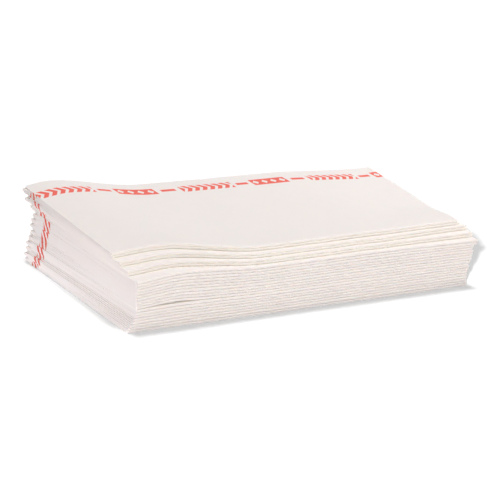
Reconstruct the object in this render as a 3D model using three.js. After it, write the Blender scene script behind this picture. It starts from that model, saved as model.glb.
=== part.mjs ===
// A loose stack of twelve flat-folded wiping cloths.
//
// Each cloth is one sheet, folded back and forth into four plies. Its two front folds show as two
// ridges, its back has one fold and two free edges, and both ends are cut. The nine lower cloths are
// squared up, and the top three have slipped back in steps. Everything above the fourth cloth arches
// up a little near the left end.
//
// Units are millimetres. +X is the length of the stack, -Y its folded front and +Z is up. The origin
// is on the floor, under the middle of the stack.

import * as THREE from 'three';

// Driving dimensions of one folded cloth
const CLOTH_LENGTH = 335;
const FOLD_DEPTH = 152;
const PLIES = 4;
const PLY = 1.0;
const PLY_GAP = 0.1;
const CLOTH_GAP = 0.3;
const TURN_STEPS = 4;

// Sizes worked out from them
const HALF_LENGTH = CLOTH_LENGTH / 2;
const HALF_DEPTH = FOLD_DEPTH / 2;
const HALF_PLY = PLY / 2;
const PLY_STEP = PLY + PLY_GAP;
const CLOTH_STEP = PLIES * PLY_STEP - PLY_GAP + CLOTH_GAP;
const TURN_RADIUS = PLY_STEP / 2;
const TURN_INSET = TURN_RADIUS + HALF_PLY;

// How the stack lies along its length: an arch near the left end, which is a curl further left along
// the back, and a lower swell on the right. Under the arch one cloth gapes for a shorter way.
const ARCH = { middle: -122, reachLeft: 52, reachRight: 76 };
const GAPE = { middle: -127, reachLeft: 38, reachRight: 26 };
const CURL = { middle: -141, reachLeft: 50, reachRight: 70 };
const SWELL = { middle: 92, reachLeft: 150, reachRight: 74 };

// Every cloth lifts a little more than the one under it. The first above the lowest few has also
// lifted off them, and the way over which it gapes grows to the full arch by the top cloth.
const LOW_CLOTHS = 4;
const SPREAD = { arch: 0.3, curl: 0.45, swell: 0.1 };
const OPENING = { arch: 1.3, curl: 0.5 };

// Where the edges of the slipped cloths start to swing away from the line of their middle
const SWING_LEFT = -50;
const SWING_RIGHT = 80;

// Places along X where every cloth is shaped, between its two cut ends
const STATIONS = [-156, -143, -130, -116, -102, -87, -70, -46, 0, 46, 92, 126, 152];

// How each cloth lies in the stack, one row for each, from the bottom up:
//   leftFront, leftBack, rightFront, rightBack
//              how far each corner lies off its place along X
//   slipLeft   how far its front folds lie behind the front of the stack, at the left end
//   slipMid    the same, half way along
//   slipRight  the same, at the right end
//   overLeft   how far its back edge stands out behind the stack, at the left end
//   overRest   the same, along the rest
const COLUMNS = [
  'leftFront', 'leftBack', 'rightFront', 'rightBack',
  'slipLeft', 'slipMid', 'slipRight', 'overLeft', 'overRest',
];
const CLOTHS = [
  [-1.2, 0.2, -0.7, -1.2, 0.6, 0.0, 0.6, 1.5, 0.0],
  [1.3, -2.0, -0.8, -0.4, 0.2, 0.4, 0.3, 0.0, 1.0],
  [4.0, -0.5, 0.0, -0.5, 0.6, 0.3, 0.5, 0.5, -1.0],
  [4.4, -1.4, -0.6, -0.2, 0.3, 0.0, 0.6, 0.0, 0.5],
  [4.2, -0.8, 0.2, 0.6, 0.6, 0.4, 0.0, -1.0, 1.0],
  [3.4, 0.2, 1.2, 0.3, 0.3, 0.2, 0.4, -2.5, -1.0],
  [2.4, 0.1, 0.6, 1.0, 0.6, 0.5, 0.3, -1.0, 0.0],
  [1.6, 0.0, 1.6, 1.0, 0.4, 0.2, 0.6, -2.0, 1.0],
  [1.6, -0.3, 4.2, 1.7, 0.2, 0.5, 0.0, -4.0, -1.0],
  [-1.0, 0.8, 2.6, 2.0, 11.0, 3.8, 5.5, 3.0, 0.5],
  [-3.5, -1.8, 0.0, 3.0, 19.0, 6.2, 11.0, 8.0, 1.5],
  [-8.5, -0.4, -12.0, 9.0, 26.0, 9.2, 13.0, 15.0, 2.5],
].map((row) => Object.fromEntries(row.map((value, i) => [COLUMNS[i], value])));

// Where the middle of the lower cloths lies, so that the slipped ones count in the stack's own middle
const MIDDLE_X = -1.1;
const MIDDLE_Y = -7.5;

const CLOTH_COLOUR = 0xf1ece6;
const CLOTH_ROUGHNESS = 0.95;

const { lerp, smoothstep } = THREE.MathUtils;

// A rounded rise: 1 at its middle, 0 from its reach on either side
function bump(x, { middle, reachLeft, reachRight }) {
  const reach = x < middle ? reachLeft : reachRight;
  const t = Math.min(Math.abs(x - middle) / reach, 1);
  return Math.cos((t * Math.PI) / 2) ** 2;
}

const swingLeft = (x) => 1 - smoothstep(x, -HALF_LENGTH, SWING_LEFT);
const swingRight = (x) => smoothstep(x, SWING_RIGHT, HALF_LENGTH);

function frontOf(row, x) {
  const slip = lerp(row.slipMid, row.slipLeft, swingLeft(x));
  return -HALF_DEPTH + lerp(slip, row.slipRight, swingRight(x));
}

function backOf(row, x) {
  return HALF_DEPTH + lerp(row.overRest, row.overLeft, swingLeft(x));
}

// How far the cloth at this level has lifted off its place
function liftOf(level, x, y) {
  const towardsBack = (y + HALF_DEPTH) / FOLD_DEPTH;
  let arch = level * SPREAD.arch * bump(x, ARCH);
  let curl = level * SPREAD.curl * bump(x, CURL);
  if (level >= LOW_CLOTHS) {
    const share = (level - LOW_CLOTHS + 1) / (CLOTHS.length - LOW_CLOTHS);
    arch += OPENING.arch * lerp(bump(x, GAPE), bump(x, ARCH), share);
    curl += OPENING.curl * bump(x, CURL);
  }
  const swell = level * SPREAD.swell * bump(x, SWELL) * (1 - towardsBack);
  return lerp(arch, curl, towardsBack) + swell;
}

// The folded sheet cut across at x, as an outline of [y, z] points, before anything lifts. It follows
// one side of the sheet from the lowest ply's free edge to the highest ply's, and the other side back,
// counter-clockwise as seen from +X.
function sectionAt(row, level, x) {
  const frontTurn = frontOf(row, x) + TURN_INSET;
  const backEdge = backOf(row, x);
  const backTurn = backEdge - TURN_INSET;
  const sides = [[], []];
  for (let ply = 0; ply < PLIES; ply += 1) {
    const goesForward = ply % 2 === 0;
    const outer = goesForward ? 0 : 1;
    const middle = level * CLOTH_STEP + HALF_PLY + ply * PLY_STEP;
    const backEnd = ply === 0 || ply === PLIES - 1 ? backEdge : backTurn;
    for (const y of goesForward ? [backEnd, frontTurn] : [frontTurn, backEnd]) {
      sides[outer].push([y, middle - HALF_PLY]);
      sides[1 - outer].push([y, middle + HALF_PLY]);
    }
    for (let step = 1; step < TURN_STEPS && ply < PLIES - 1; step += 1) {
      const angle = (step / TURN_STEPS - 0.5) * Math.PI;
      const reach = TURN_INSET * Math.cos(angle);
      const y = goesForward ? frontTurn - reach : backTurn + reach;
      sides[outer].push([y, middle + TURN_RADIUS + TURN_INSET * Math.sin(angle)]);
    }
  }
  return [...sides[1], ...sides[0].reverse()];
}

// The section swept from cut end to cut end, closed by a face at each
function clothGeometry(row, level) {
  const places = [row.leftFront - HALF_LENGTH, ...STATIONS, row.rightFront + HALF_LENGTH];
  const sections = places.map((x) => sectionAt(row, level, x));
  const size = sections[0].length;
  const last = places.length - 1;
  const points = [];
  sections.forEach((section, i) => {
    let slant = 0;
    if (i === 0) slant = (row.leftBack - row.leftFront) / FOLD_DEPTH;
    if (i === last) slant = (row.rightBack - row.rightFront) / FOLD_DEPTH;
    for (const [y, z] of section) {
      const x = places[i] + slant * (y + HALF_DEPTH);
      points.push(x, y, z + liftOf(level, x, y));
    }
  });

  // Every ply is split along the same diagonals, so that plies which face each other stay apart
  const triangles = [];
  for (let i = 0; i < last; i += 1) {
    for (let j = 0; j < size; j += 1) {
      const next = (j + 1) % size;
      const corners = [i * size + j, i * size + next, (i + 1) * size + next, (i + 1) * size + j];
      const [a, b, c, d] = corners;
      const runsForward = sections[i][next][0] < sections[i][j][0];
      triangles.push(...(runsForward ? [a, b, c, a, c, d] : [b, c, d, b, d, a]));
    }
  }
  const capOf = (section) =>
    THREE.ShapeUtils.triangulateShape(section.map(([y, z]) => new THREE.Vector2(y, z)), []);
  for (const corners of capOf(sections[last])) {
    triangles.push(...corners.map((corner) => last * size + corner));
  }
  for (const corners of capOf(sections[0])) {
    triangles.push(...corners.reverse());
  }

  const geometry = new THREE.BufferGeometry();
  geometry.setAttribute('position', new THREE.Float32BufferAttribute(points, 3));
  geometry.setIndex(triangles);
  geometry.computeVertexNormals();
  return geometry;
}

const stack = new THREE.Group();
stack.position.set(MIDDLE_X, MIDDLE_Y, 0);
CLOTHS.forEach((row, level) => {
  const material = new THREE.MeshStandardMaterial({
    color: CLOTH_COLOUR,
    roughness: CLOTH_ROUGHNESS,
    metalness: 0,
  });
  const cloth = new THREE.Mesh(clothGeometry(row, level), material);
  cloth.name = `cloth_${String(level + 1).padStart(2, '0')}`;
  stack.add(cloth);
});

export default stack;
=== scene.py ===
"""A loose stack of twelve flat-folded wiping cloths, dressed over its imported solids.

Each cloth is one thin sheet on the folds of its solid: four plies folded back and forth, with two
folds in front, one fold and two free edges at the back, and pinked ends. Metres, +Z up.
"""

import math

import bpy
import numpy as np
from mathutils import Matrix, Vector


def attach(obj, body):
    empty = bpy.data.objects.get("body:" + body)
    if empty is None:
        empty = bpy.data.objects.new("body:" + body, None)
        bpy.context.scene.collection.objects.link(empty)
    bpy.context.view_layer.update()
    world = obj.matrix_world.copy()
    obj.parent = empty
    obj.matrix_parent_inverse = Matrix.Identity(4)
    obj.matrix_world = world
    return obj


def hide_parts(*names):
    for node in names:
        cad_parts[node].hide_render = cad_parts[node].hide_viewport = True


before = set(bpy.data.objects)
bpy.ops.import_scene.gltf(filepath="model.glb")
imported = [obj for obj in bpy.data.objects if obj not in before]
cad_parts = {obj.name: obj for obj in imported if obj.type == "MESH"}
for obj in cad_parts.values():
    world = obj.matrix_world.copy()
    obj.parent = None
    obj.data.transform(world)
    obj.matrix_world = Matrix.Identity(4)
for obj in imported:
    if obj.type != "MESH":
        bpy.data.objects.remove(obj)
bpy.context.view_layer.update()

MM = 0.001

# One folded cloth
CLOTH_LENGTH = 335 * MM
FOLD_DEPTH = 152 * MM
PLIES = 4
PLY = 1.0 * MM
PLY_GAP = 0.1 * MM
CLOTH_GAP = 0.3 * MM

HALF_LENGTH = CLOTH_LENGTH / 2
HALF_DEPTH = FOLD_DEPTH / 2
HALF_PLY = PLY / 2
CLOTH_STEP = PLIES * (PLY + PLY_GAP) - PLY_GAP + CLOTH_GAP
PLY_STEP = CLOTH_STEP / PLIES
TURN_RADIUS = PLY_STEP / 2
TURN_INSET = TURN_RADIUS + HALF_PLY

# How the stack lies along its length: middle, reach to the left and reach to the right of each rise
ARCH = (-122 * MM, 52 * MM, 76 * MM)
GAPE = (-127 * MM, 38 * MM, 26 * MM)
CURL = (-141 * MM, 50 * MM, 70 * MM)
SWELL = (92 * MM, 150 * MM, 74 * MM)

# How much more each cloth lifts than the one under it, and by how much the first above the lowest few
# has lifted off them
LOW_CLOTHS = 4
SPREAD = {"arch": 0.3 * MM, "curl": 0.45 * MM, "swell": 0.1 * MM}
OPENING = {"arch": 1.3 * MM, "curl": 0.5 * MM}
SWING_LEFT = -50 * MM
SWING_RIGHT = 80 * MM

# How each cloth lies, from the bottom up, in millimetres: how far its corners lie off their places
# along X, how far its front lies back at the left, middle and right, and how far its back edge stands
# out at the left and along the rest
CORNERS = ("left_front", "left_back", "right_front", "right_back")
COLUMNS = CORNERS + ("slip_left", "slip_mid", "slip_right", "over_left", "over_rest")
CLOTHS = [
    dict(zip(COLUMNS, (value * MM for value in row)))
    for row in (
        (-1.2, 0.2, -0.7, -1.2, 0.6, 0.0, 0.6, 1.5, 0.0),
        (1.3, -2.0, -0.8, -0.4, 0.2, 0.4, 0.3, 0.0, 1.0),
        (4.0, -0.5, 0.0, -0.5, 0.6, 0.3, 0.5, 0.5, -1.0),
        (4.4, -1.4, -0.6, -0.2, 0.3, 0.0, 0.6, 0.0, 0.5),
        (4.2, -0.8, 0.2, 0.6, 0.6, 0.4, 0.0, -1.0, 1.0),
        (3.4, 0.2, 1.2, 0.3, 0.3, 0.2, 0.4, -2.5, -1.0),
        (2.4, 0.1, 0.6, 1.0, 0.6, 0.5, 0.3, -1.0, 0.0),
        (1.6, 0.0, 1.6, 1.0, 0.4, 0.2, 0.6, -2.0, 1.0),
        (1.6, -0.3, 4.2, 1.7, 0.2, 0.5, 0.0, -4.0, -1.0),
        (-1.0, 0.8, 2.6, 2.0, 11.0, 3.8, 5.5, 3.0, 0.5),
        (-3.5, -1.8, 0.0, 3.0, 19.0, 6.2, 11.0, 8.0, 1.5),
        (-8.5, -0.4, -12.0, 9.0, 26.0, 9.2, 13.0, 15.0, 2.5),
    )
]

# Where the middle of the lower cloths lies
MIDDLE = np.array((-1.1, -7.5, 0.0)) * MM

# A cloth's points: rows along its length, how far the rows by each end lie from it, and steps round a
# turn. A turn is blunter than a half circle, and the ends swell a little.
ROWS = 62
END_ROWS = (0, 1.6 * MM, 3.6 * MM, 6.5 * MM)
TURN_CUTS = 6
TURN_BLUNT = 0.55
END_SWELL = (0.07 * MM, 0.07 * MM, 0.03 * MM)
CORNER_RADIUS = 1.2 * MM
SHARP_ANGLE = math.radians(50)

# How far folds, edges and plies stray, and the length and share of each part of a fold's wander
FOLD_WAVER = 0.08 * MM
FOLD_SLIP = 0.1 * MM
EDGE_WAVER = 0.6 * MM
PLY_SLIP = 0.08 * MM
WAVER_PARTS = ((170 * MM, 0.5), (75 * MM, 0.32), (31 * MM, 0.18))

# The slow waves that all cloths share
WAVE_COUNT = 7
WAVE_LENGTHS = (50 * MM, 160 * MM)
WAVE_HEIGHT = 0.5 * MM

# The teeth of the cut ends. Their depth is uneven, and it is full at the back left and the front right
# corner and a share of that elsewhere.
TEETH = 28
TOOTH_DEPTH = 0.4 * MM
TOP_TOOTH_DEPTH = 1.5 * MM
TOOTH_UNEVEN = (0.75, 1.15)
LEFT_TOOTH_SHARE = 0.05
RIGHT_TOOTH_SHARE = 0.2

# Towards the same corners, the middle plies of each cloth stand out and its outer plies lie back
SCALLOP = (-1.0 * MM, 0.8 * MM, 0.8 * MM, -1.0 * MM)
SCALLOP_REACH = 7 * MM

# How far each cloth, from the bottom up, stands out at its right front corner as well, in millimetres
CORNER_STEPS = (1.3, 0.1, -0.3, 1.1, -0.4, 0.6, 1.0, -0.4, 0.9, 0, 0, 0)

# The stack is pressed flatter towards its back right corner
SETTLE = 0.07
SETTLE_ALONG = (60 * MM, 165 * MM)
SETTLE_ACROSS = (-60 * MM, -15 * MM)

# Painted light in the gaps and grooves: a lighter, warm colour that stands in for light glowing through
# the plies. How far out it reaches from under the next cloth, how much of it the plies and the grooves
# between the folds have, and how narrow those grooves are
PAINTED_LIGHT_REACH = 1.0 * MM
PLY_PAINTED_LIGHT = 0.3
GROOVE_PAINTED_LIGHT = 0.2
GROOVE_POWER = 4

# Cloths that show a painted warm light line on the cut ends, in the gap where the next one lies a
# little off them
PAINTED_LINE_LEVELS = (3, 8)
PAINTED_LINE_LIGHT = 0.5
PAINTED_LINE_FADE = (-70 * MM, 10 * MM)

# The first of the slipped cloths, whose folds get more painted warm light and so are lighter. Below it
# the painted light stays inside the ends.
OPEN_LEVEL = 9
OPEN_PAINTED_LIGHT = 0.4

# The printed border: its distance from the free edge of the top ply, how much further off it runs at
# the left end, where that starts and how slowly, half its height, the length of one repeat, and where
# the first one starts on the bottom cloth and how much further on each next cloth
BAND_PLACE = 18.5 * MM
BAND_SWING = 3.5 * MM
BAND_SWING_FROM = -125 * MM
BAND_SWING_SOFT = 40 * MM
BAND_HALF = 6.2 * MM
BAND_REPEAT = 132 * MM
BAND_START = 73 * MM
BAND_SHIFT = 11 * MM
BAND_PARTS = {
    "bar": (0 * MM, 36 * MM),
    "first dash": (41 * MM, 55 * MM),
    "chevrons": (60 * MM, 112 * MM),
    "second dash": (116 * MM, 128 * MM),
}
LOZENGE_PITCH = 9 * MM
LOZENGE_HALF = 3 * MM
LOZENGE_LEAN = 0.8
CHEVRON_PITCH = 7.5 * MM
CHEVRON_SHARE = 0.6
CHEVRON_LEAN = 0.7
DASH_HALF = 2.2 * MM
PRINT_SOFT = 0.25 * MM

# The same print where it shows on the cut ends: short leaning strokes, a little off from cloth to cloth
END_PLACE = 21 * MM
END_SWING = 5 * MM
END_STRAY = 0.5 * MM
END_HALF = 5 * MM
END_SOFT = 0.3 * MM
END_PITCH = 5.4 * MM
END_SHARE = 0.52
END_LEAN = 0.6

# Colours of the cloth, of the painted warm light in its gaps and grooves, of its cut ends from the
# floor up, with painted light at the foot and painted shade higher up, and of the print, and how much
# of the print takes: the least, what the fibres add to it, and what the cut ends add
PAPER_DARK = (0.87, 0.803, 0.772, 1)
PAPER_LIGHT = (0.89, 0.824, 0.794, 1)
PAINTED_WARM_LIGHT = (0.99, 0.935, 0.85, 1)
CUT_PAINTED_LIGHT_LOW = (0.99, 0.90, 0.89, 1)
CUT_PAINTED_SHADE_HIGH = (0.75, 0.68, 0.67, 1)
INK = (0.88, 0.04, 0.002, 1)
END_INK = (0.74, 0.04, 0.002, 1)
INK_LEAST = 0.72
INK_FIBRES = 0.3
INK_ENDS = 0.05

# Where the parts of a cloth lie on its texture: along it, and across it for its two sides, and from
# edge to edge for its cut ends and free edges. Against the other plies, one face across a turn has less
# of the texture and one across the top ply has more.
BAKE_ALONG = (0.02, 0.98)
BAKE_OUTSIDE = (0.015, 0.70)
BAKE_INSIDE = (0.72, 0.985)
BAKE_LEFT = (0.016, 0.004)
BAKE_RIGHT = (0.984, 0.996)
BAKE_LOW_EDGE = (0.012, 0.002)
BAKE_HIGH_EDGE = (0.703, 0.713)
TURN_WEIGHT = 0.6
TOP_WEIGHT = 4.0

# Parts of the flat coordinates: the sheet's inside and its cut ends are set off from the outside, and
# the material tells the ends by a limit between them
INSIDE = 1.0
CUT_END = 2.0
CUT_END_FROM = 1.8


def smoothstep(x, low, high):
    t = np.clip((x - low) / (high - low), 0, 1)
    return t * t * (3 - 2 * t)


def lerp(a, b, t):
    return a + (b - a) * t


def rise(x, place):
    """1 at the middle of a rise, 0 from its reach on either side."""
    middle, reach_left, reach_right = place
    reach = np.where(x < middle, reach_left, reach_right)
    return np.cos(np.clip(np.abs(x - middle) / reach, 0, 1) * math.pi / 2) ** 2


def front_of(row, x):
    left = 1 - smoothstep(x, -HALF_LENGTH, SWING_LEFT)
    slip = lerp(row["slip_mid"], row["slip_left"], left)
    return -HALF_DEPTH + lerp(slip, row["slip_right"], smoothstep(x, SWING_RIGHT, HALF_LENGTH))


def back_of(row, x):
    left = 1 - smoothstep(x, -HALF_LENGTH, SWING_LEFT)
    return HALF_DEPTH + lerp(row["over_rest"], row["over_left"], left)


def left_inset(depth):
    """How far a cloth's left end is rounded off, at this depth behind its front."""
    t = np.clip(1 - depth / CORNER_RADIUS, 0, 1)
    return CORNER_RADIUS * (1 - np.sqrt(1 - t * t))


def fanned(level, column):
    """A column of the table for each ply, drawn towards the next cloths, so that the ends fan out."""
    plies = level + (np.arange(PLIES) + 0.5) / PLIES - 0.5
    return np.interp(plies, np.arange(len(CLOTHS)), [row[column] for row in CLOTHS])


def settled(x, y):
    """The share of its height that the stack keeps."""
    return 1 - SETTLE * smoothstep(x, *SETTLE_ALONG) * smoothstep(y, *SETTLE_ACROSS)


def lift_of(level, x, y):
    """How far a cloth, or a part of it at its share of a level, has lifted off its place."""
    towards_back = (y + HALF_DEPTH) / FOLD_DEPTH
    is_up = level >= LOW_CLOTHS
    share = np.clip((level - LOW_CLOTHS + 1) / (len(CLOTHS) - LOW_CLOTHS), 0, 1)
    gape = OPENING["arch"] * is_up * lerp(rise(x, GAPE), rise(x, ARCH), share)
    arch = level * SPREAD["arch"] * rise(x, ARCH) + gape
    curl = (level * SPREAD["curl"] + OPENING["curl"] * is_up) * rise(x, CURL)
    swell = level * SPREAD["swell"] * rise(x, SWELL) * (1 - towards_back)
    return lerp(arch, curl, towards_back) + swell


def waver(x, height, generator):
    """A slow, uneven wander along x of up to about this height."""
    total = np.zeros_like(x)
    for length, share in WAVER_PARTS:
        total += share * np.sin(2 * math.pi * (x / length + generator.random()))
    return height * total


def wave_list():
    """Length, direction and phase of each slow wave."""
    rng = np.random.default_rng(7)
    return [
        (rng.uniform(*WAVE_LENGTHS), rng.uniform(0, math.pi), rng.random()) for _ in range(WAVE_COUNT)
    ]


WAVES = wave_list()


def waves(level, x, y):
    """The soft unevenness that the cloths share, stronger towards the top."""
    total = np.zeros_like(x)
    for length, turn, phase in WAVES:
        along = (x * math.cos(turn) + y * math.sin(turn)) / length
        total += np.sin(2 * math.pi * (along + phase))
    return WAVE_HEIGHT * level / len(CLOTHS) * total / len(WAVES)


def sheet_path():
    """The points along the folded sheet, from the lowest ply's free edge to the top ply's: ply,
    share of the way from front to back, angle round the turn after that ply, and the number of its
    cut across the ply, or -1 on a turn."""
    points = []
    cuts = 2 * TEETH
    for ply in range(PLIES):
        steps = range(cuts + 1)
        for step in reversed(steps) if ply % 2 == 0 else steps:
            points.append((ply, step / cuts, np.nan, step))
        if ply < PLIES - 1:
            for step in range(1, TURN_CUTS):
                points.append((ply, np.nan, (step / TURN_CUTS - 0.5) * math.pi, -1))
    return [np.array(column) for column in zip(*points)]


PATH_PLY, PATH_SHARE, PATH_ANGLE, PATH_CUT = sheet_path()
ON_TURN = np.isnan(PATH_SHARE)
EVEN = PATH_PLY % 2 == 0


def row_places():
    """Shares of the length at which a cloth has a row of points: close at both ends."""
    ends = np.array(END_ROWS) / CLOTH_LENGTH
    middle = np.linspace(ends[-1], 1 - ends[-1], ROWS - 2 * len(ends) + 2)
    return np.concatenate([ends[:-1], middle, 1 - ends[:-1][::-1]])


ROW_PLACES = row_places()


def cloth_points(level):
    """Points of both sides of one cloth as side, row, path point, axis, how far each is along the flat
    sheet, and where the top ply's free edge lies in each row."""
    row = CLOTHS[level]
    generator = np.random.default_rng(100 + level)
    x = lerp(row["left_front"] - HALF_LENGTH, row["right_front"] + HALF_LENGTH, ROW_PLACES)
    front = front_of(row, x) + TURN_INSET
    back = back_of(row, x)
    slips = FOLD_SLIP * generator.random(2)
    low, high = (front + waver(x, FOLD_WAVER, generator) + slip for slip in slips)
    turn = back - TURN_INSET + waver(x, EDGE_WAVER, generator)
    edge_low, edge_high = (back + waver(x, EDGE_WAVER, generator) for _ in range(2))
    fronts = np.stack([low, low, high, high], 1)[:, PATH_PLY]
    backs = np.stack([edge_low, turn, turn, edge_high], 1)[:, PATH_PLY]
    middle = level * CLOTH_STEP + HALF_PLY + PATH_PLY * PLY_STEP

    def along_path(values):
        return (values[PATH_PLY] + values[np.minimum(PATH_PLY + ON_TURN, PLIES - 1)]) / 2

    slip_left, slip_right = generator.uniform(-PLY_SLIP, PLY_SLIP, (2, PLIES))[:, PATH_PLY]
    left_front, left_back, right_front, right_back = (
        along_path(fanned(level, corner)) for corner in CORNERS
    )
    scallop = along_path(np.array(SCALLOP))
    zigzag = np.append(np.arange(2 * TEETH + 1) % 2, 0.5)
    depth = TOP_TOOTH_DEPTH if level == len(CLOTHS) - 1 else TOOTH_DEPTH
    teeth = depth * generator.uniform(*TOOTH_UNEVEN, (2, len(zigzag))) * zigzag

    # The cut ends are fluffed, so that the plies close up there
    half = np.full((len(x), 1), HALF_PLY)
    for place, swell in enumerate(END_SWELL):
        half[[place, -1 - place]] += swell

    sides = []
    for out in (1, -1):
        radius = TURN_RADIUS + np.where(EVEN, out, -out) * half
        reach = radius * np.cos(PATH_ANGLE) ** TURN_BLUNT
        y_turn = np.where(EVEN, fronts - reach, backs + reach)
        y = np.where(ON_TURN, y_turn, lerp(fronts, backs, np.nan_to_num(PATH_SHARE)))
        z_turn = middle + TURN_RADIUS + radius * np.sin(PATH_ANGLE)
        z_ply = middle + np.where(EVEN, -out, out) * half
        z = np.broadcast_to(np.where(ON_TURN, z_turn, z_ply), y.shape)
        towards_back = (y + HALF_DEPTH) / FOLD_DEPTH
        left = lerp(left_front, left_back, towards_back) - HALF_LENGTH + slip_left
        right = lerp(right_front, right_back, towards_back) + HALF_LENGTH + slip_right
        px = lerp(left + left_inset(y - fronts + TURN_INSET), right, ROW_PLACES[:, None])
        near_back = smoothstep(y - backs, -SCALLOP_REACH, 0)
        near_front = smoothstep(fronts - y, -SCALLOP_REACH, 0)
        px[0] -= teeth[0, PATH_CUT] * lerp(LEFT_TOOTH_SHARE, 1, near_back[0])
        px[0] -= scallop * near_back[0]
        px[-1] += teeth[1, PATH_CUT] * lerp(RIGHT_TOOTH_SHARE, 1, near_front[-1])
        px[-1] += (scallop + CORNER_STEPS[level] * MM) * near_front[-1]

        # Plies lift by their own height, up to just under the level of the next cloth
        ply_level = np.clip((z - HALF_PLY) / CLOTH_STEP, level, level + 0.99)
        pz = (z + lift_of(ply_level, px, y) + waves(level, px, y)) * settled(px, y)
        sides.append(np.stack([px, y, np.maximum(pz, 0)], -1))
    points = np.stack(sides)

    # How far along the flat sheet each point is from the top ply's free edge
    centre = points.mean(0)
    steps = np.linalg.norm(np.diff(centre[..., 1:], axis=1), axis=-1)
    run = np.concatenate([np.cumsum(steps[:, ::-1], 1)[:, ::-1], np.zeros((len(steps), 1))], 1)
    return points, run, edge_high


def painted_light_of(level, points):
    """How much painted warm light each point of the two sides has, a lighter, warmer colour standing in
    for light in the gaps: most of it under other plies, some in the grooves between folds, and none in
    the open."""
    depth = np.abs(np.sin(np.nan_to_num(PATH_ANGLE))) ** GROOVE_POWER
    groove, ply_tint = GROOVE_PAINTED_LIGHT * depth, PLY_PAINTED_LIGHT
    if level >= OPEN_LEVEL:
        groove, ply_tint = lerp(OPEN_PAINTED_LIGHT, 1, depth), 1
    outside = np.where(ON_TURN & EVEN, groove, ply_tint)
    inside = np.where(ON_TURN & ~EVEN, groove, ply_tint)
    painted_light = np.broadcast_to(np.stack([outside, inside])[:, None], points.shape[:3]).copy()

    # The top of the cloth gets the painted light where it is covered behind the front of the next one
    top = (PATH_PLY == PLIES - 1) | ((PATH_PLY == PLIES - 2) & (PATH_ANGLE > 0))
    x, y = points[0, :, top, 0], points[0, :, top, 1]
    if level + 1 < len(CLOTHS):
        cover = 1 + (y - front_of(CLOTHS[level + 1], x)) / PAINTED_LIGHT_REACH
    else:
        cover = np.zeros_like(y)
    if level + 1 < OPEN_LEVEL:
        from_end = np.minimum(ROW_PLACES, 1 - ROW_PLACES) * CLOTH_LENGTH
        cover = cover * smoothstep(from_end, 0, END_ROWS[-1])
    painted_light[0][:, top] = np.where(ON_TURN[top][:, None], np.minimum(cover, painted_light[0].T[top]), cover).T
    return painted_light


def cloth_faces(rows, count):
    """Four-sided faces of a cloth: its two sides, its two cut ends and its two free edges."""
    index = np.arange(2 * rows * count).reshape(2, rows, count)
    a, b = index

    def quads(*corners):
        return np.stack([c.ravel() for c in corners], -1)

    return {
        "outside": quads(a[:-1, :-1], a[1:, :-1], a[1:, 1:], a[:-1, 1:]),
        "inside": quads(b[:-1, :-1], b[:-1, 1:], b[1:, 1:], b[1:, :-1]),
        "left": quads(a[0, :-1], a[0, 1:], b[0, 1:], b[0, :-1]),
        "right": quads(b[-1, :-1], b[-1, 1:], a[-1, 1:], a[-1, :-1]),
        "low_edge": quads(a[:-1, 0], b[:-1, 0], b[1:, 0], a[1:, 0]),
        "high_edge": quads(a[:-1, -1], a[1:, -1], b[1:, -1], b[:-1, -1]),
    }


def bake_places(rows, count):
    """Where each group of faces lies on the texture, as side, row, path point, axis. The outside has
    most of it, and most of that is for the top ply."""
    u = np.broadcast_to(lerp(*BAKE_ALONG, ROW_PLACES)[:, None], (rows, count))
    weights = np.where(PATH_PLY[1:] == PLIES - 1, TOP_WEIGHT, 1.0)
    weights[ON_TURN[1:] | ON_TURN[:-1]] = TURN_WEIGHT
    run = np.append(0, np.cumsum(weights)) / weights.sum()
    outside = np.broadcast_to(lerp(*BAKE_OUTSIDE, run), (rows, count))
    inside = np.broadcast_to(lerp(*BAKE_INSIDE, run), (rows, count))

    def strip(*sides):
        return np.stack([np.stack(np.broadcast_arrays(*side), -1) for side in sides])

    return {
        "outside": strip((u, outside), (u, outside)),
        "inside": strip((u, inside), (u, inside)),
        "left": strip(*((place, outside) for place in BAKE_LEFT)),
        "right": strip(*((place, outside) for place in BAKE_RIGHT)),
        "low_edge": strip(*((u, place) for place in BAKE_LOW_EDGE)),
        "high_edge": strip(*((u, place) for place in BAKE_HIGH_EDGE)),
    }


def add_corners(mesh, name, corners):
    """A UV map from its value at every face corner."""
    layer = mesh.uv_layers.new(name=name)
    layer.uv.foreach_set("vector", np.concatenate(corners).astype(np.float32).ravel())


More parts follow.
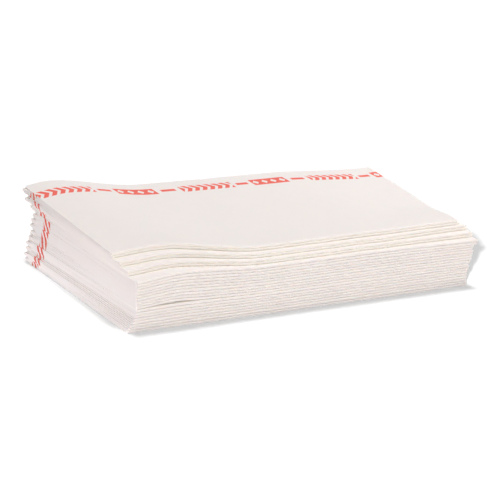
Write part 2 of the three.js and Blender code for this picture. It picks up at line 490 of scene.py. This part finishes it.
def cloth_object(level):
    points, run, back_edge = cloth_points(level)
    _, rows, count, _ = points.shape
    faces = cloth_faces(rows, count)
    mesh = bpy.data.meshes.new(f"sheet_{level + 1:02d}")
    mesh.from_pydata((points + MIDDLE).reshape(-1, 3), [], np.concatenate(list(faces.values())))

    # Flat coordinates: along the length, and across from the printed edge. On the cut ends they are
    # the height, and the distance from the back edge.
    x, y, z = (points[..., axis] for axis in range(3))
    flat = np.stack([x, np.stack([run, run + INSIDE])], -1).reshape(-1, 2)
    end = np.stack(np.broadcast_arrays(z, back_edge[:, None] - y + CUT_END), -1).reshape(-1, 2)
    corners = [(end if name in ("left", "right") else flat)[quads] for name, quads in faces.items()]
    add_corners(mesh, "flat", corners)
    places = bake_places(rows, count)
    add_corners(mesh, "OFBake", [places[name].reshape(-1, 2)[quads] for name, quads in faces.items()])

    # The painted warm light of the sides, and the painted warm light lines on the cut ends
    painted_light = painted_light_of(level, points)
    # The lines on the cut ends are painted warm light, strongest at the front and fading towards the
    # back
    on_end = PAINTED_LINE_LIGHT * (1 - smoothstep(y, *PAINTED_LINE_FADE))
    on_end[1] = 0
    lined_top = (PATH_PLY == PLIES - 1) & (level in PAINTED_LINE_LEVELS)
    lined_foot = (PATH_PLY == 0) & (level - 1 in PAINTED_LINE_LEVELS)
    on_end[0] *= lined_top | lined_foot
    painted_lights = {"outside": painted_light, "inside": painted_light}
    amounts = [painted_lights.get(name, on_end).ravel()[quads] for name, quads in faces.items()]
    attribute = mesh.attributes.new("painted_light", "FLOAT", "CORNER")
    attribute.data.foreach_set("value", np.concatenate(amounts).astype(np.float32).ravel())

    mesh.polygons.foreach_set("use_smooth", np.ones(len(mesh.polygons), bool))
    mesh.update()
    mesh.set_sharp_from_angle(angle=SHARP_ANGLE)
    piece = bpy.data.objects.new(mesh.name, mesh)
    bpy.context.scene.collection.objects.link(piece)
    return piece


class Nodes:
    """A material's nodes, made with short calls."""

    def __init__(self, material):
        material.use_nodes = True
        self.tree = material.node_tree
        self.tree.nodes.clear()

    def add(self, kind, inputs=None, **settings):
        node = self.tree.nodes.new(kind)
        for name, value in settings.items():
            setattr(node, name, value)
        for name, value in (inputs or {}).items():
            self.put(node.inputs[name], value)
        return node

    def put(self, socket, value):
        if isinstance(value, bpy.types.NodeSocket):
            self.tree.links.new(value, socket)
        else:
            socket.default_value = value

    def math(self, operation, *values):
        node = self.add("ShaderNodeMath", operation=operation)
        for socket, value in zip(node.inputs, values):
            self.put(socket, value)
        return node.outputs[0]

    def between(self, value, middle, half, soft):
        """1 where value is within half of middle, with a soft edge."""
        away = self.math("ABSOLUTE", self.math("SUBTRACT", value, middle))
        return self.below(away, half, soft)

    def below(self, value, limit, soft):
        node = self.add("ShaderNodeMapRange", interpolation_type="SMOOTHSTEP")
        ends = {"From Min": limit - soft, "From Max": limit + soft, "To Min": 1.0, "To Max": 0.0}
        for name, number in ends.items():
            self.put(node.inputs[name], number)
        self.put(node.inputs["Value"], value)
        return node.outputs["Result"]

    def mix(self, factor, a, b):
        node = self.add("ShaderNodeMix", data_type="RGBA")
        for name, value in (("Factor", factor), ("A", a), ("B", b)):
            self.put(next(s for s in node.inputs if s.name == name and s.enabled), value)
        return next(s for s in node.outputs if s.enabled)


def border_mask(nodes, along, across, phase):
    """The printed border: a bar with open lozenges, a dash, chevrons and a dash, over and over."""
    share = nodes.math("FRACT", nodes.math("DIVIDE", nodes.math("ADD", along, phase), BAND_REPEAT))
    p = nodes.math("MULTIPLY", share, BAND_REPEAT)
    at_left = nodes.below(along, BAND_SWING_FROM, BAND_SWING_SOFT)
    swing = nodes.math("MULTIPLY", at_left, BAND_SWING)
    q = nodes.math("SUBTRACT", across, nodes.math("ADD", swing, BAND_PLACE))
    height = nodes.math("ABSOLUTE", q)

    def stretch(part):
        low, high = BAND_PARTS[part]
        return nodes.between(p, (low + high) / 2, (high - low) / 2, PRINT_SOFT)

    # The bar, with a row of lozenges left open
    step = nodes.math("FRACT", nodes.math("DIVIDE", p, LOZENGE_PITCH))
    off_middle = nodes.math("ABSOLUTE", nodes.math("SUBTRACT", step, 0.5))
    away = nodes.math("MULTIPLY", off_middle, LOZENGE_PITCH)
    away = nodes.math("ADD", away, nodes.math("MULTIPLY", height, LOZENGE_LEAN))
    lozenge = nodes.below(away, LOZENGE_HALF, PRINT_SOFT)
    bar = nodes.math("MULTIPLY", stretch("bar"), nodes.math("SUBTRACT", 1.0, lozenge))

    # Chevrons
    leaning = nodes.math("ADD", p, nodes.math("MULTIPLY", height, CHEVRON_LEAN))
    step = nodes.math("FRACT", nodes.math("DIVIDE", leaning, CHEVRON_PITCH))
    stroke = nodes.below(step, CHEVRON_SHARE, 0.05)
    chevrons = nodes.math("MULTIPLY", stroke, stretch("chevrons"))

    # Dashes
    dashes = nodes.math("MAXIMUM", stretch("first dash"), stretch("second dash"))
    dashes = nodes.math("MULTIPLY", dashes, nodes.below(height, DASH_HALF, PRINT_SOFT))
    shapes = nodes.math("MAXIMUM", nodes.math("MAXIMUM", bar, chevrons), dashes)
    return nodes.math("MULTIPLY", shapes, nodes.below(height, BAND_HALF, PRINT_SOFT))


def end_mask(nodes, height, across, shift):
    """The print on a cut end: leaning strokes within the border's width."""
    q = nodes.math("SUBTRACT", across, CUT_END + END_PLACE + shift)
    leaning = nodes.math("ADD", q, nodes.math("MULTIPLY", height, END_LEAN))
    step = nodes.math("FRACT", nodes.math("DIVIDE", leaning, END_PITCH))
    stroke = nodes.below(step, END_SHARE, 0.08)
    return nodes.math("MULTIPLY", stroke, nodes.between(q, 0.0, END_HALF, END_SOFT))


def cloth_material(level):
    material = bpy.data.materials.new(f"nonwoven_{level + 1:02d}")
    nodes = Nodes(material)
    flat = nodes.add("ShaderNodeUVMap", uv_map="flat")
    parts = nodes.add("ShaderNodeSeparateXYZ", {"Vector": flat.outputs["UV"]})
    along, across = parts.outputs["X"], parts.outputs["Y"]
    phase = HALF_LENGTH + BAND_REPEAT + BAND_START + BAND_SHIFT * level
    middle = (len(CLOTHS) - 1) / 2
    stray = (level * 7 % 5 - 2) * END_STRAY
    shift = stray - END_SWING * ((level - middle) / middle) ** 2
    mask = border_mask(nodes, along, across, phase)
    mask = nodes.math("MAXIMUM", mask, end_mask(nodes, along, across, shift))

    place = nodes.add("ShaderNodeTexCoord").outputs["Object"]
    fibres = nodes.add("ShaderNodeTexNoise", {"Vector": place, "Scale": 1400.0, "Detail": 3.0})
    mottle = nodes.add("ShaderNodeTexNoise", {"Vector": place, "Scale": 90.0, "Detail": 2.0})

    paper = nodes.mix(mottle.outputs["Fac"], PAPER_DARK, PAPER_LIGHT)
    painted_light = nodes.add("ShaderNodeAttribute", attribute_name="painted_light").outputs["Fac"]
    painted_light = nodes.math("SUBTRACT", 1.0, nodes.below(painted_light, 0.5, 0.5))
    on_end = nodes.math("SUBTRACT", 1.0, nodes.below(across, CUT_END_FROM, 0.1))
    # The cut ends' colour from the floor up: painted light at the foot, painted shade higher up
    way_up = nodes.math("SQRT", nodes.math("DIVIDE", along, len(CLOTHS) * CLOTH_STEP))
    paper = nodes.mix(on_end, paper, nodes.mix(way_up, CUT_PAINTED_LIGHT_LOW, CUT_PAINTED_SHADE_HIGH))
    # Painted warm light: where the sheet lies in the gaps and grooves, its colour turns lighter and
    # warmer
    paper = nodes.mix(painted_light, paper, PAINTED_WARM_LIGHT)
    height = fibres.outputs["Fac"]
    taken = nodes.math("ADD", nodes.math("MULTIPLY", height, INK_FIBRES), INK_LEAST)
    taken = nodes.math("ADD", taken, nodes.math("MULTIPLY", on_end, INK_ENDS))
    ink = nodes.mix(on_end, INK, END_INK)
    inked = nodes.mix(nodes.math("MULTIPLY", mask, taken), paper, ink)

    bump = nodes.add("ShaderNodeBump", {"Strength": 0.08, "Distance": 0.15 * MM, "Height": height})
    shader = nodes.add(
        "ShaderNodeBsdfPrincipled",
        {
            "Base Color": inked,
            "Roughness": 0.9,
            "Specular IOR Level": 0.2,
            "Subsurface Weight": 0.25,
            "Subsurface Radius": (1.0, 0.7, 0.5),
            "Subsurface Scale": 0.8 * MM,
            "Sheen Weight": 0.15,
            "Sheen Roughness": 0.5,
            "Normal": bump.outputs["Normal"],
        },
    )
    nodes.add("ShaderNodeOutputMaterial", {"Surface": shader.outputs["BSDF"]})
    return material


cloths = bpy.data.collections.new("cloths")
for level in range(len(CLOTHS)):
    node = f"cloth_{level + 1:02d}"
    piece = cloth_object(level)
    cloths.objects.link(piece)
    piece.data.materials.append(cloth_material(level))
    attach(piece, "root")
    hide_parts(node)


# The stage
FLOOR_HALF = 6.0


def floor_object():
    mesh = bpy.data.meshes.new("floor")
    signs = ((-1, -1), (1, -1), (1, 1), (-1, 1))
    mesh.from_pydata([(FLOOR_HALF * x, FLOOR_HALF * y, 0) for x, y in signs], [], [(0, 1, 2, 3)])
    material = bpy.data.materials.new("white_floor")
    nodes = Nodes(material)
    shader = nodes.add(
        "ShaderNodeBsdfPrincipled",
        {
            "Base Color": (0.26, 0.26, 0.26, 1),
            "Roughness": 0.8,
            "Specular IOR Level": 0.1,
            "Emission Color": (1, 1, 1, 1),
            "Emission Strength": 0.05,
        },
    )
    nodes.add("ShaderNodeOutputMaterial", {"Surface": shader.outputs["BSDF"]})
    mesh.materials.append(material)
    piece = bpy.data.objects.new("floor", mesh)
    bpy.context.scene.collection.objects.link(piece)
    return piece


def area_light(name, place, target, size, power):
    lamp = bpy.data.lights.new(name, "AREA")
    lamp.shape = "DISK"
    lamp.size = size
    lamp.energy = power
    piece = bpy.data.objects.new(name, lamp)
    piece.location = place
    piece.rotation_mode = "QUATERNION"
    piece.rotation_quaternion = (Vector(target) - Vector(place)).to_track_quat("-Z", "Y")
    bpy.context.scene.collection.objects.link(piece)
    return piece


def sun_light(name, azimuth, elevation, spread, strength):
    """Even light from a direction: degrees round from +X, degrees up, and its spread in degrees."""
    lamp = bpy.data.lights.new(name, "SUN")
    lamp.angle = math.radians(spread)
    lamp.energy = strength
    turn, up = math.radians(azimuth), math.radians(elevation)
    source = Vector((math.cos(turn) * math.cos(up), math.sin(turn) * math.cos(up), math.sin(up)))
    piece = bpy.data.objects.new(name, lamp)
    piece.rotation_mode = "QUATERNION"
    piece.rotation_quaternion = source.to_track_quat("Z", "Y")
    bpy.context.scene.collection.objects.link(piece)
    return piece


def camera_object():
    """The photograph's view: azimuth, elevation, distance and roll about the stack's foot."""
    azimuth, elevation, roll = (math.radians(angle) for angle in (-38.53, 19.82, 8.25))
    distance = 1791.9 * MM
    offset_right, offset_up = -0.88 * MM, 19.47 * MM
    level = math.cos(elevation)
    back = Vector((math.sin(azimuth) * level, -math.cos(azimuth) * level, math.sin(elevation)))
    flat_right = (-back).cross(Vector((0, 0, 1))).normalized()
    flat_up = flat_right.cross(-back)
    right = flat_right * math.cos(roll) + flat_up * math.sin(roll)
    up = flat_up * math.cos(roll) - flat_right * math.sin(roll)
    data = bpy.data.cameras.new("camera")
    data.sensor_width = 36.0
    data.lens = 158.4
    data.clip_end = 50
    piece = bpy.data.objects.new("camera", data)
    place = Vector(MIDDLE) + back * distance + right * offset_right + up * offset_up
    piece.matrix_world = Matrix.Translation(place) @ Matrix((right, up, back)).transposed().to_4x4()
    bpy.context.scene.collection.objects.link(piece)
    bpy.context.scene.camera = piece


def world_light(strength):
    world = bpy.data.worlds.new("studio")
    world.use_nodes = True
    background = world.node_tree.nodes["Background"]
    background.inputs["Color"].default_value = (1, 1, 1, 1)
    background.inputs["Strength"].default_value = strength
    bpy.context.scene.world = world


# The cloths and the floor each have lamps of their own, so that the floor stays white
ground = bpy.data.collections.new("ground")
ground.objects.link(floor_object())
world_light(0.25)
for lamp in (
    sun_light("key", azimuth=345, elevation=66, spread=40, strength=1.88),
    sun_light("fill", azimuth=235, elevation=24, spread=8, strength=0.92),
    area_light("side", (0.6, 0.1, 0.45), target=(0, 0, 0), size=0.3, power=0.8),
    area_light("near", (-0.32, -0.05, 0.015), target=(-0.17, -0.03, 0), size=0.1, power=0.05),
):
    lamp.light_linking.receiver_collection = cloths
for lamp in (
    sun_light("floor_key", azimuth=92, elevation=79, spread=12, strength=6.2),
    sun_light("floor_low", azimuth=221, elevation=21, spread=3, strength=15.2),
):
    lamp.light_linking.receiver_collection = ground
camera_object()
bpy.context.scene.view_settings.view_transform = "Standard"
